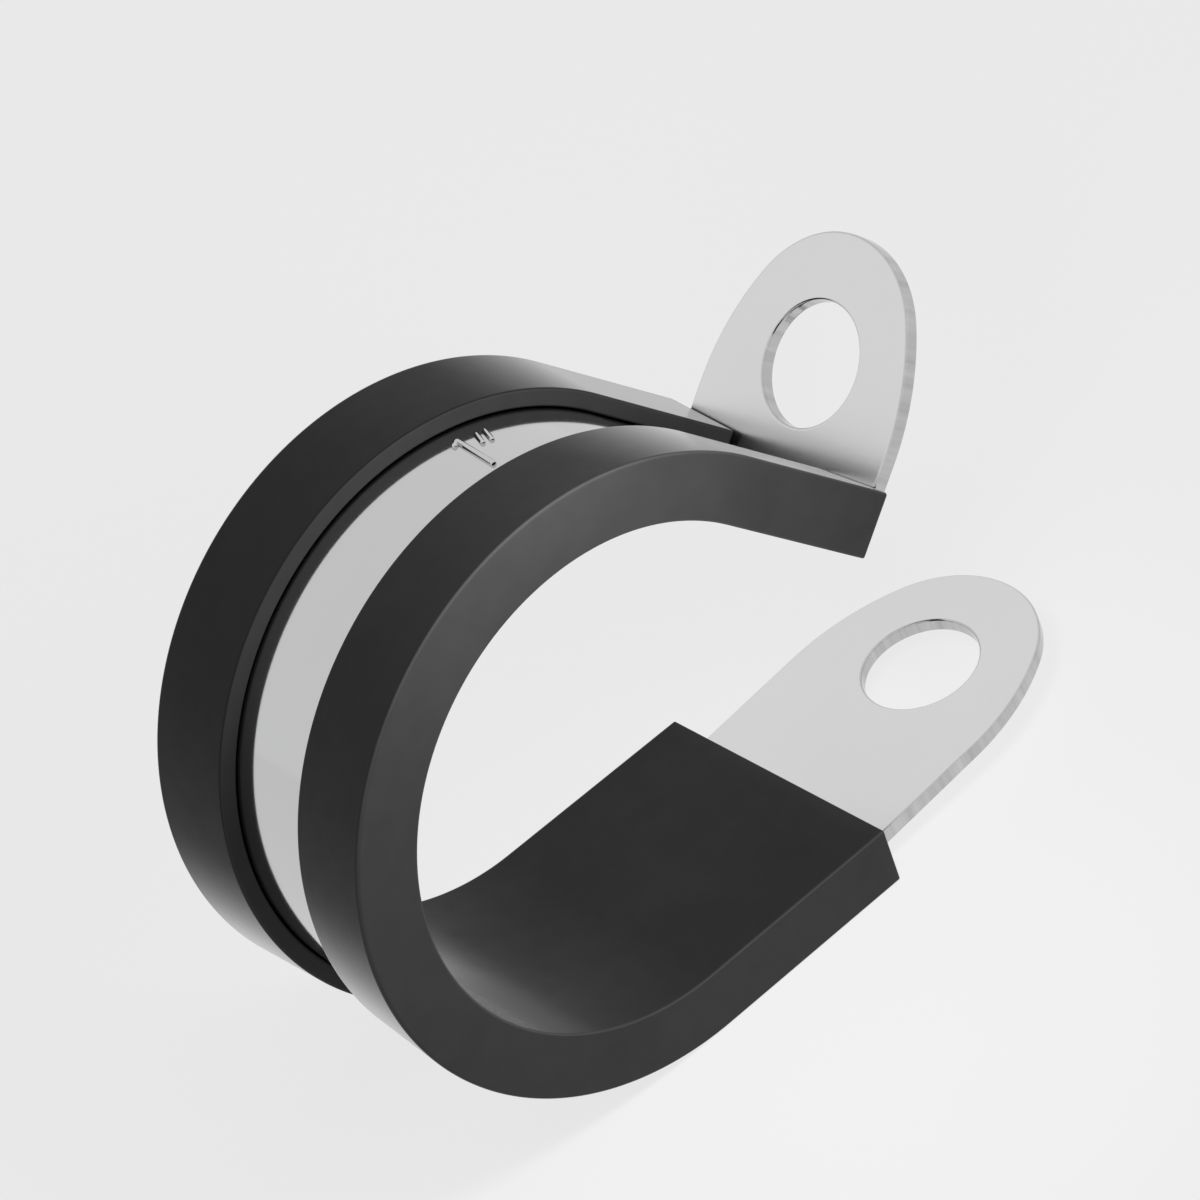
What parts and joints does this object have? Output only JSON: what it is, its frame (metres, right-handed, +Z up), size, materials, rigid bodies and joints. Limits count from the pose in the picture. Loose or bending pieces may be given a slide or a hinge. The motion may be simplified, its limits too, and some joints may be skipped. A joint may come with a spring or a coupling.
{
  "type": "p clip",
  "caption": "Open P-shaped cable clip: a bent steel band with two bolt tabs, lined with a black rubber channel that wraps its edges.",
  "frame": {"origin": "centre of the round loop that grips the cable, halfway across the clip", "axes": "+Y along the gripped cable, across the clip; +X from the loop towards the bolt tabs, along the level lower arm; +Z up, from the lower arm to the upper arm"},
  "size_m": [0.0449, 0.0164, 0.0322],
  "materials": {
    "bright_steel": "bright rolled stainless steel strip",
    "black_rubber": "smooth matt extruded black rubber"
  },
  "bodies": {
    "root": {"steel_band": "bright_steel", "rubber_lining": "black_rubber"}
  },
  "joints": []
}
